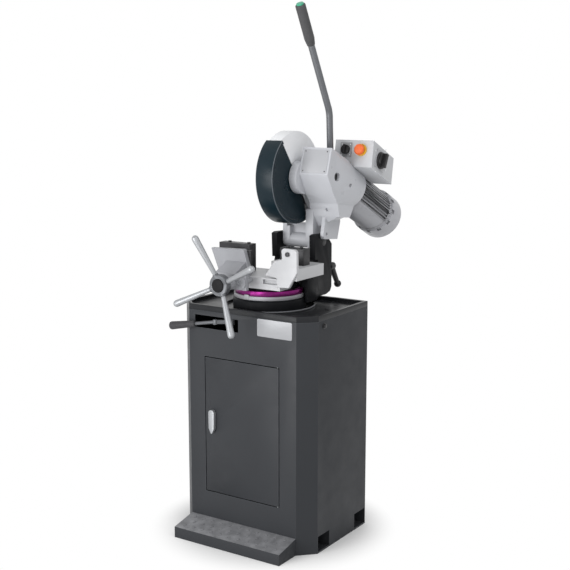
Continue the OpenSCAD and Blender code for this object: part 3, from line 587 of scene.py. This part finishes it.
def plastics(c):
    """Finishes of plastic and rubber."""
    return {
        "black_plastic": moulded_plastic("moulded_black", c.black_plastic, rough=0.36),
        "cap_plastic": moulded_plastic("cap_black", c.black_plastic, rough=0.55, specular=0.1),
        "grip_rubber": grip_rubber("grip_sleeve", c.grip_rubber),
        "sleeve_grey": grip_rubber("lever_sleeve", c.sleeve_grey),
        "box_plastic": moulded_plastic("box_shell", c.box_plastic, rough=0.40),
        "stop_red": moulded_plastic("stop_button_red", c.stop_red, rough=0.26),
        "stop_yellow": moulded_plastic("stop_collar_yellow", c.stop_yellow, rough=0.30),
        "button_green": moulded_plastic("trigger_green", c.button_green, rough=0.30),
    }


def finish_named(name):
    """The material of that name; all are made on the first call."""
    if not FINISHES:
        for family in (sheet_coats, casting_enamels, bare_metals, plastics):
            FINISHES.update(family(colours()))
    return FINISHES[name]


def dress(names, edge, segments=3, limit=ROUND_ABOVE):
    """Gives CAD nodes their finish and rounds their edges by modifiers; their meshes stay as packed."""
    for name in names:
        node = NODES[name]
        node.data.materials.clear()
        node.data.materials.append(finish_named(OWN_FINISHES.get(name, SLOT_OF[name])))
        node.data.shade_smooth()
        weld = node.modifiers.new("join", "WELD")
        weld.merge_threshold = WELD_REACH
        flatten = node.modifiers.new("flat faces", "DECIMATE")
        flatten.decimate_type = "DISSOLVE"
        flatten.angle_limit = FLAT_ANGLE
        bevel = node.modifiers.new("round edges", "BEVEL")
        bevel.width = edge
        bevel.segments = segments
        bevel.limit_method = "ANGLE"
        bevel.angle_limit = limit
        bevel.harden_normals = True
        bevel.use_clamp_overlap = True


def piece(name, mesh, slot, body, finish=None):
    """Turns a bmesh into a piece that rides on a body, with its slot's finish unless another is named."""
    bmesh.ops.recalc_face_normals(mesh, faces=mesh.faces)
    data = bpy.data.meshes.new(name)
    mesh.to_mesh(data)
    mesh.free()
    data.shade_smooth()
    data.set_sharp_from_angle(angle=SMOOTH_BELOW)
    data.materials.append(finish_named(finish or slot))
    made = bpy.data.objects.new(name, data)
    bpy.context.scene.collection.objects.link(made)
    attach(made, body)
    return made


def facing(at, axis):
    """A frame at a point whose Z looks along axis."""
    return Matrix.Translation(at) @ Vector(axis).to_track_quat("Z", "Y").to_matrix().to_4x4()


def edges_of(verts):
    return list({edge for vert in verts for edge in vert.link_edges})


def soften(mesh, edges, radius, segments):
    """Rounds edges of a bmesh."""
    bmesh.ops.bevel(
        mesh, geom=edges, offset=radius, affect="EDGES", segments=segments, profile=0.5, material=-1,
    )


def dome(mesh, at, axis, radius, height):
    """A low round-headed stud that stands on a face."""
    made = bmesh.ops.create_cone(
        mesh, cap_ends=True, segments=STUD_SIDES, radius1=radius, radius2=radius * STUD_TOP, depth=height,
        matrix=facing(at, axis) @ Matrix.Translation((0, 0, height / 2)),
    )["verts"]
    direction = Vector(axis).normalized()
    level = Vector(at).dot(direction) + height / 2
    rim = [e for e in edges_of(made) if all(v.co.dot(direction) > level for v in e.verts)]
    soften(mesh, rim, height * STUD_ROUNDING, EDGE_STEPS)


def hex_bolt(mesh, at, axis, radius):
    """A hexagon head on a washer."""
    stand = facing(at, axis)
    washer = radius * WASHER_HEIGHT
    for segments, size, depth, base in (
        (WASHER_SIDES, radius * WASHER_RADIUS, washer, 0.0),
        (HEX_SIDES, radius, radius * HEX_HEIGHT, washer),
    ):
        made = bmesh.ops.create_cone(
            mesh, cap_ends=True, segments=segments, radius1=size, radius2=size, depth=depth,
            matrix=stand @ Matrix.Translation((0, 0, base + depth / 2)),
        )["verts"]
        soften(mesh, edges_of(made), radius * BOLT_EDGE, EDGE_STEPS)


def face_corners(name, towards, inset):
    """Four places on the flat face of a node that looks most nearly towards a direction, and its normal."""
    data = NODES[name].data
    direction = Vector(towards).normalized()
    best = max(data.polygons, key=lambda p: (round(p.normal.dot(direction), 3), p.area))
    normal = best.normal.copy()
    across = normal.cross((0, 0, 1)).normalized()
    up = across.cross(normal)
    flat = [
        data.vertices[i].co
        for p in data.polygons
        if p.normal.dot(normal) > SAME_NORMAL and abs((p.center - best.center).dot(normal)) < SAME_LEVEL
        for i in p.vertices
    ]
    level = best.center.dot(normal)
    sides = [
        (min(v.dot(way) for v in flat) + inset, max(v.dot(way) for v in flat) - inset)
        for way in (across, up)
    ]
    places = [across * u + up * v + normal * level for u in sides[0] for v in sides[1]]
    return places, normal


def corner_studs(mesh, name, towards, inset, radius):
    """A rivet or screw head in each corner of a node's face."""
    places, normal = face_corners(name, towards, inset)
    for place in places:
        dome(mesh, place, normal, radius, radius * HEAD_HEIGHT)


def block(mesh, low, high):
    """A box between two corners; returns its vertices."""
    low, high = Vector(low), Vector(high)
    place = Matrix.Translation((low + high) / 2) @ Matrix.Diagonal((*(high - low), 1.0))
    return bmesh.ops.create_cube(mesh, size=1.0, matrix=place)["verts"]


def round_plate(mesh, low, high, corner):
    """A thin plate that faces along Y, with round corners and a broken front edge."""
    block(mesh, low, high)
    upright = [e for e in mesh.edges if abs((e.verts[0].co - e.verts[1].co).y) > SAME_LEVEL]
    soften(mesh, upright, corner, CORNER_STEPS)
    front = [e for e in mesh.edges if all(v.co.y < low[1] + SAME_POINT for v in e.verts)]
    soften(mesh, front, PLATE_EDGE, EDGE_STEPS)


def bead_ring(mesh, centre, radius, thickness):
    """A round bead that lies in a level ring."""
    start = bmesh.ops.create_circle(
        mesh, segments=BEAD_SIDES, radius=thickness,
        matrix=Matrix.Translation(centre + Vector((radius, 0, 0))) @ Matrix.Rotation(math.pi / 2, 4, "X"),
    )["verts"]
    bmesh.ops.spin(
        mesh, geom=start + edges_of(start), cent=centre, axis=(0, 0, 1),
        angle=math.tau, steps=DRIP_STEPS, use_merge=True,
    )


def rim_bead(mesh, name, pivot, thickness, start, end):
    """Round beads in the two outer corners of a guard that turns about X, between two angles from +Y."""
    low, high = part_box(name)
    reach = pivot.z - low.z - thickness
    for x in (low.x + thickness, high.x - thickness):
        ring = bmesh.ops.create_circle(
            mesh, segments=BEAD_SIDES, radius=thickness,
            matrix=Matrix.Translation((x, pivot.y + reach, pivot.z)),
        )["verts"]
        bmesh.ops.rotate(mesh, verts=ring, cent=pivot, matrix=Matrix.Rotation(start, 3, "X"))
        bmesh.ops.spin(
            mesh, geom=ring + edges_of(ring), cent=pivot, axis=(1, 0, 0),
            angle=end - start, steps=GUARD_STEPS,
        )
    bmesh.ops.holes_fill(mesh, edges=[e for e in mesh.edges if e.is_boundary])


def toe_pocket(mesh, low, high, outside):
    """A sheet pocket, open below and towards the outside, behind a cut-out."""
    verts = block(mesh, low, high)
    mesh.normal_update()
    faces = {f for v in verts for f in v.link_faces}
    gone = [f for f in faces if f.normal.z < -SAME_NORMAL or f.normal.x * outside > SAME_NORMAL]
    bmesh.ops.delete(mesh, geom=gone, context="FACES")
    bmesh.ops.solidify(mesh, geom=[f for f in faces if f.is_valid], thickness=TOE_SHEET)


def threaded_rod(mesh, name, lead, depth):
    """A round thread that runs along Y over a node's whole length, cut flat at both ends."""
    low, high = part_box(name)
    middle = (low + high) / 2
    crest = (high.x - low.x) / 2
    root = crest - depth
    profile = [(root, 0.0), (crest, THREAD_RISE), (crest, THREAD_CREST), (root, THREAD_FALL), (root, 1.0)]
    verts = [mesh.verts.new((middle.x + r, low.y + (t - 1.0) * lead, middle.z)) for r, t in profile]
    edges = [mesh.edges.new(pair) for pair in zip(verts, verts[1:])]
    turns = math.ceil((high.y - low.y) / lead) + 1
    bmesh.ops.spin(
        mesh, geom=verts + edges, cent=middle, axis=(0, 1, 0), dvec=(0, lead / THREAD_STEPS, 0),
        angle=-math.tau * turns, steps=turns * THREAD_STEPS,
    )
    bmesh.ops.remove_doubles(mesh, verts=mesh.verts, dist=SAME_POINT)
    for y, way in ((low.y, -1), (high.y, 1)):
        everything = mesh.verts[:] + mesh.edges[:] + mesh.faces[:]
        bmesh.ops.bisect_plane(
            mesh, geom=everything, plane_co=(0, y, 0), plane_no=(0, way, 0), clear_outer=True,
        )
    bmesh.ops.holes_fill(mesh, edges=[e for e in mesh.edges if e.is_boundary])


def add_step_studs(s):
    """Rows of studs on the foot step's sloping tread, every second row one stud shorter."""
    low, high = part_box("foot_step")
    slope = math.atan2(STEP_BACK - STEP_FRONT, high.y - low.y)
    normal = (0.0, -math.sin(slope), math.cos(slope))
    pitch = (high.x - low.x) / (s.stud_columns - 1 + 2 * COLUMN_MARGIN)
    mesh = bmesh.new()
    for row in range(s.stud_rows):
        share = (row + ROW_MARGIN) / (s.stud_rows - 1 + 2 * ROW_MARGIN)
        y = high.y + (low.y - high.y) * share
        z = STEP_BACK + (STEP_FRONT - STEP_BACK) * share
        count = s.stud_columns - row % 2
        for i in range(count):
            x = (i - (count - 1) / 2) * pitch
            dome(mesh, (x, y, z), normal, s.stud_radius, s.stud_height)
    # The studs take the step's finish, with painted light on their tops.
    piece("step_studs", mesh, "cabinet_paint", "stand", "step_painted_light")


def add_side_bolt(s):
    mesh = bmesh.new()
    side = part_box("cabinet")[1].x
    hex_bolt(mesh, (side, *s.side_bolt_at), RIGHT, s.side_bolt_radius)
    piece("side_bolt", mesh, "dark_steel", "stand")


def add_front_plate(s):
    """The cabinet's bare plate, with round corners."""
    mesh = bmesh.new()
    round_plate(mesh, *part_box("rating_plate"), s.plate_corner)
    plate = piece("round_cornered_plate", mesh, "plate_silver", "stand", "front_label")
    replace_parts(plate, "rating_plate")


def add_drip_highlight_bead(s):
    low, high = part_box("base_casting")
    centre = Vector((0.0, (low.y + high.y) / 2, DRIP_TOP))
    mesh = bmesh.new()
    bead_ring(mesh, centre, DRIP_RADIUS, s.drip_highlight_bead)
    # The bead takes a pale satin steel finish: a painted highlight along the tray's drip lip.
    piece("drip_highlight_bead", mesh, "bright_steel", "stand", "hub_steel")


def add_toe_pockets(s):
    """A pocket behind each of the cabinet's four toe cut-outs, which are in line with the floor anchors."""
    anchors = next(m for m in RECORD["mounts"] if m["name"] == "floor_anchors")
    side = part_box("cabinet")[1].x
    mesh = bmesh.new()
    for outside in (-1, 1):
        for way in (-1, 1):
            y = anchors["pos_m"][1] + way * anchors["dims"]["spacing_y_mm"] * MM / 2
            mouth = side - TOE_WALL
            left, right = sorted((outside * mouth, outside * (mouth - s.toe_depth)))
            toe_pocket(mesh, (left, y - TOE_HALF, TOE_WALL), (right, y + TOE_HALF, TOE_TOP), outside)
    piece("toe_pockets", mesh, "cabinet_paint", "stand")


class COLDSAW_OT_cabinet(bpy.types.Operator):
    """Cabinet, tray, door, latch and foot step, with their small fittings"""

    bl_idname = "coldsaw.cabinet"
    bl_label = "Cabinet"

    def execute(self, context):
        s = sizes()
        dress(["cabinet", "door", "foot_step", "tray"], s.sheet_edge)
        dress(["rating_plate", "door_brackets", "door_pins", "latch_cam"], s.machined_edge / 2)
        dress(["latch_handle"], s.moulded_edge)
        add_step_studs(s)
        add_side_bolt(s)
        add_front_plate(s)
        add_drip_highlight_bead(s)
        add_toe_pockets(s)
        return {"FINISHED"}


def add_scale_marks(s, centre):
    """Marks round the front of the scale ring, long and short in turn."""
    low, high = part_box("scale_ring")
    radius = (high.x - low.x) / 2
    mesh = bmesh.new()
    for i in range(-SCALE_MARKS, SCALE_MARKS + 1):
        tall = MARK_LONG if i % 2 == 0 else MARK_SHORT
        mark = block(
            mesh, (-MARK_HALF, -radius - MARK_PROUD, low.z + MARK_FOOT),
            (MARK_HALF, -radius + MARK_SUNK, low.z + tall),
        )
        turn = Matrix.Translation(centre) @ Matrix.Rotation(i * s.tick_step, 4, "Z")
        bmesh.ops.transform(mesh, matrix=turn, verts=mark)
    piece("scale_marks", mesh, "dark_steel", "swivel")


def add_scale_pointer(centre):
    """A small bare plate across the bearing ring and the foot of the scale ring."""
    low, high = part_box("bearing_ring")
    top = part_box("scale_ring")[0].z + POINTER_LAP
    reach = (high.x - low.x) / 2
    mesh = bmesh.new()
    round_plate(
        mesh, Vector((-POINTER_HALF, -reach - POINTER_PROUD, low.z + POINTER_FOOT)),
        Vector((POINTER_HALF, -reach + POINTER_SUNK, top)), POINTER_CORNER,
    )
    turn = Matrix.Translation(centre) @ Matrix.Rotation(POINTER_TURN, 4, "Z")
    bmesh.ops.transform(mesh, matrix=turn, verts=mesh.verts)
    piece("scale_pointer", mesh, "plate_silver", "swivel")


class COLDSAW_OT_swivel(bpy.types.Operator):
    """Round base, rings with marks, column and the two swivel locks"""

    bl_idname = "coldsaw.swivel"
    bl_label = "Swivel"

    def execute(self, context):
        s = sizes()
        dress(["base_casting", "column"], s.cast_edge)
        dress(["bearing_ring", "scale_ring", "base_bolts", "pivot_bushes"], s.machined_edge)
        dress(["lock_lever_post", "lock_lever", "lock_lever_grip", "lock_handle"], s.machined_edge)
        low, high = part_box("scale_ring")
        centre = Vector(((low.x + high.x) / 2, (low.y + high.y) / 2, 0.0))
        add_scale_marks(s, centre)
        add_scale_pointer(centre)
        return {"FINISHED"}


class COLDSAW_OT_vise(bpy.types.Operator):
    """Vise bed, jaws, threaded screw and handwheel"""

    bl_idname = "coldsaw.vise"
    bl_label = "Vise"

    def execute(self, context):
        s = sizes()
        dress(["vise_bed", "movable_jaw", "end_plate"], s.cast_edge)
        dress(["fixed_jaw_left", "fixed_jaw_right", "jaw_face"], s.machined_edge)
        dress(["jaw_bolts", "end_plate_bolts", "vise_nut", "guide_bar", "vise_screw"], s.machined_edge)
        dress(["handwheel_hub", "handwheel_cap", "handwheel_spokes"], s.machined_edge)
        mesh = bmesh.new()
        threaded_rod(mesh, "vise_screw", s.thread_lead, s.thread_depth)
        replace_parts(piece("threaded_screw", mesh, "bright_steel", "handwheel"), "vise_screw")
        return {"FINISHED"}


class COLDSAW_OT_head(bpy.types.Operator):
    """Head casting, guards, blade and spindle"""

    bl_idname = "coldsaw.head"
    bl_label = "Saw head"

    def execute(self, context):
        s = sizes()
        dress(["head_casting"], s.cast_edge, limit=CAST_ROUND_ABOVE)
        dress(["upper_guard", "lower_guard"], s.machined_edge)
        dress(["blade"], s.machined_edge / 4, segments=1)
        dress(["pivot_pin", "front_plate", "case_plugs"], s.machined_edge)
        dress(["spindle", "blade_flange", "blade_bolt"], s.machined_edge)
        mesh = bmesh.new()
        corner_studs(mesh, "front_plate", FORWARD_UP, s.rivet_inset, s.rivet_radius)
        piece("plate_rivets", mesh, "dark_steel", "head")
        swing = next(j for j in RECORD["behaviour"]["joints"] if j["name"] == "guard_swing")
        mesh = bmesh.new()
        rim_bead(mesh, "lower_guard", Vector(swing["pos_m"]), s.guard_bead, *GUARD_ARC)
        # The beads take a paler paint, a painted highlight along the guard's rim.
        piece("guard_rim_beads", mesh, "guard_paint", "lower_guard", "guard_rim_highlight")
        return {"FINISHED"}


class COLDSAW_OT_motor(bpy.types.Operator):
    """Motor with its fins and fan cover"""

    bl_idname = "coldsaw.motor"
    bl_label = "Motor"

    def execute(self, context):
        s = sizes()
        dress(["motor_housing"], s.machined_edge, segments=2)
        dress(["fan_cover"], s.sheet_edge)
        return {"FINISHED"}


def add_switch_dial(s):
    """The main switch's round foot, which turns with it."""
    low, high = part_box("main_switch")
    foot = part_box("main_switch_plate")[1].x + DIAL_GAP
    half = foot + s.dial_height / 2
    mesh = bmesh.new()
    dial = bmesh.ops.create_cone(
        mesh, cap_ends=True, segments=DIAL_SIDES, radius1=s.dial_radius,
        radius2=s.dial_radius * DIAL_TOP, depth=s.dial_height,
        matrix=facing((half, (low.y + high.y) / 2, (low.z + high.z) / 2), RIGHT),
    )["verts"]
    rim = [e for e in edges_of(dial) if all(v.co.x > half for v in e.verts)]
    soften(mesh, rim, DIAL_EDGE, DIAL_EDGE_STEPS)
    piece("switch_dial", mesh, "black_plastic", "main_switch")


class COLDSAW_OT_controls(bpy.types.Operator):
    """Control box, switches and buttons"""

    bl_idname = "coldsaw.controls"
    bl_label = "Controls"

    def execute(self, context):
        s = sizes()
        dress(["control_box"], s.moulded_edge)
        dress(["switch_plate", "main_switch_plate"], s.machined_edge)
        dress(["emergency_collar", "emergency_button", "speed_switch", "main_switch"], s.machined_edge)
        mesh = bmesh.new()
        corner_studs(mesh, "main_switch_plate", RIGHT, s.screw_inset, s.screw_radius)
        corner_studs(mesh, "switch_plate", FORWARD_UP, s.rivet_inset, s.rivet_radius)
        piece("cover_screws", mesh, "bright_steel", "head")
        add_switch_dial(s)
        return {"FINISHED"}


class COLDSAW_OT_lever(bpy.types.Operator):
    """Feed lever, its grip and the trigger button"""

    bl_idname = "coldsaw.lever"
    bl_label = "Feed lever"

    def execute(self, context):
        dress(["feed_lever", "lever_grip", "trigger_button"], sizes().machined_edge)
        return {"FINISHED"}


def seen_directly(tree):
    """A socket that is 1 for what the camera sees, also in a reflection or through glass, and else 0."""
    path = tree.nodes.new("ShaderNodeLightPath")
    seen = path.outputs["Is Camera Ray"]
    for ray in ("Is Glossy Ray", "Is Transmission Ray"):
        either = tree.nodes.new("ShaderNodeMath")
        either.operation = "MAXIMUM"
        tree.links.new(seen, either.inputs[0])
        tree.links.new(path.outputs[ray], either.inputs[1])
        seen = either.outputs["Value"]
    return seen


def floor_material(colour):
    """Pale floor that takes the shadow near the object and fades to white away from it."""
    finish = Finish("studio_floor", specular=0.1)
    finish.put("Base Color", (*colour, 1.0))
    finish.put("Roughness", 0.9)
    distance = finish.add("ShaderNodeVectorMath", operation="LENGTH")
    finish.feed(distance.inputs[0], finish.object)
    fade = finish.mapped(distance.outputs["Value"], FLOOR_FADE, interpolation_type="SMOOTHSTEP")
    shown = finish.calculated("MULTIPLY", fade, seen_directly(finish.tree))
    white = finish.add("ShaderNodeEmission").outputs["Emission"]
    mix = finish.add("ShaderNodeMixShader")
    for socket, value in zip(mix.inputs, (shown, finish.shader.outputs["BSDF"], white)):
        finish.feed(socket, value)
    finish.feed(finish.surface, mix.outputs["Shader"])
    return finish.material


def studio_world():
    """Plain ambient light, seen as white by the camera and in reflections."""
    world = bpy.data.worlds.new("studio")
    world.use_nodes = True
    tree = world.node_tree
    background = tree.nodes["Background"]
    background.inputs["Color"].default_value = (1.0, 1.0, 1.0, 1.0)
    strength = tree.nodes.new("ShaderNodeMapRange")
    strength.inputs["To Min"].default_value = AMBIENT
    strength.inputs["To Max"].default_value = 1.0
    tree.links.new(seen_directly(tree), strength.inputs["Value"])
    tree.links.new(strength.outputs["Result"], background.inputs["Strength"])
    return world


def softbox(name, at, aim, width, height, watts):
    """A soft rectangular lamp."""
    data = bpy.data.lights.new(name, "AREA")
    data.shape = "RECTANGLE"
    data.size = width
    data.size_y = height
    data.energy = watts
    lamp = bpy.data.objects.new(name, data)
    lamp.location = at
    lamp.rotation_euler = (Vector(aim) - Vector(at)).to_track_quat("-Z", "Y").to_euler()
    bpy.context.scene.collection.objects.link(lamp)


class COLDSAW_OT_stage(bpy.types.Operator):
    """Camera, pale floor and soft studio light"""

    bl_idname = "coldsaw.stage"
    bl_label = "Stage"

    def execute(self, context):
        scene = context.scene
        settings = scene.cold_saw_stage
        camera = bpy.data.objects.new("photo_view", bpy.data.cameras.new("photo_view"))
        camera.data.sensor_width = SENSOR
        camera.data.lens = settings.lens
        camera.location = settings.camera_at
        camera.rotation_euler = settings.camera_turn
        scene.collection.objects.link(camera)
        scene.camera = camera
        mesh = bmesh.new()
        bmesh.ops.create_circle(mesh, cap_ends=True, segments=FLOOR_SIDES, radius=settings.floor_radius)
        data = bpy.data.meshes.new("floor")
        mesh.to_mesh(data)
        mesh.free()
        data.materials.append(floor_material(settings.floor_colour))
        floor = bpy.data.objects.new("floor", data)
        scene.collection.objects.link(floor)
        scene.world = studio_world()
        softbox("key", at=(-0.8, -3.6, 1.1), aim=(0, 0, 1.0), width=2.4, height=2.6, watts=118)
        softbox("side", at=(3.3, -1.6, 1.9), aim=(0, 0, 1.1), width=2.0, height=2.4, watts=9)
        softbox("top", at=(1.9, -0.5, 3.3), aim=(0, 0, 1.1), width=2.2, height=2.0, watts=22)
        scene.view_settings.view_transform = "Standard"
        return {"FINISHED"}


PIECE_OPERATORS = (
    COLDSAW_OT_cabinet, COLDSAW_OT_swivel, COLDSAW_OT_vise, COLDSAW_OT_head,
    COLDSAW_OT_motor, COLDSAW_OT_controls, COLDSAW_OT_lever, COLDSAW_OT_stage,
)


class COLDSAW_PT_panel(bpy.types.Panel):
    """Lists the steps and settings of the cold saw."""

    bl_label = "Cold saw"
    bl_idname = "COLDSAW_PT_panel"
    bl_space_type = "VIEW_3D"
    bl_region_type = "UI"
    bl_category = "Cold saw"

    def draw(self, context):
        for operator in PIECE_OPERATORS:
            self.layout.operator(operator.bl_idname)
        for group in SETTINGS:
            settings = getattr(context.scene, group)
            for name in settings.bl_rna.properties.keys():
                if name not in {"rna_type", "name"}:
                    self.layout.prop(settings, name)


SETTINGS = {
    "cold_saw_colours": ColdSawColours, "cold_saw_sizes": ColdSawSizes, "cold_saw_stage": ColdSawStage,
}
CLASSES = (*SETTINGS.values(), *PIECE_OPERATORS, COLDSAW_PT_panel)


def register():
    for entry in CLASSES:
        bpy.utils.register_class(entry)
    for group, kind in SETTINGS.items():
        setattr(bpy.types.Scene, group, PointerProperty(type=kind))


def unregister():
    for group in SETTINGS:
        delattr(bpy.types.Scene, group)
    for entry in reversed(CLASSES):
        bpy.utils.unregister_class(entry)


def main():
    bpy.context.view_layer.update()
    register()
    bpy.ops.coldsaw.stage()
    bpy.ops.coldsaw.cabinet()
    bpy.ops.coldsaw.swivel()
    bpy.ops.coldsaw.vise()
    bpy.ops.coldsaw.head()
    bpy.ops.coldsaw.motor()
    bpy.ops.coldsaw.controls()
    bpy.ops.coldsaw.lever()


if __name__ == "__main__":
    main()
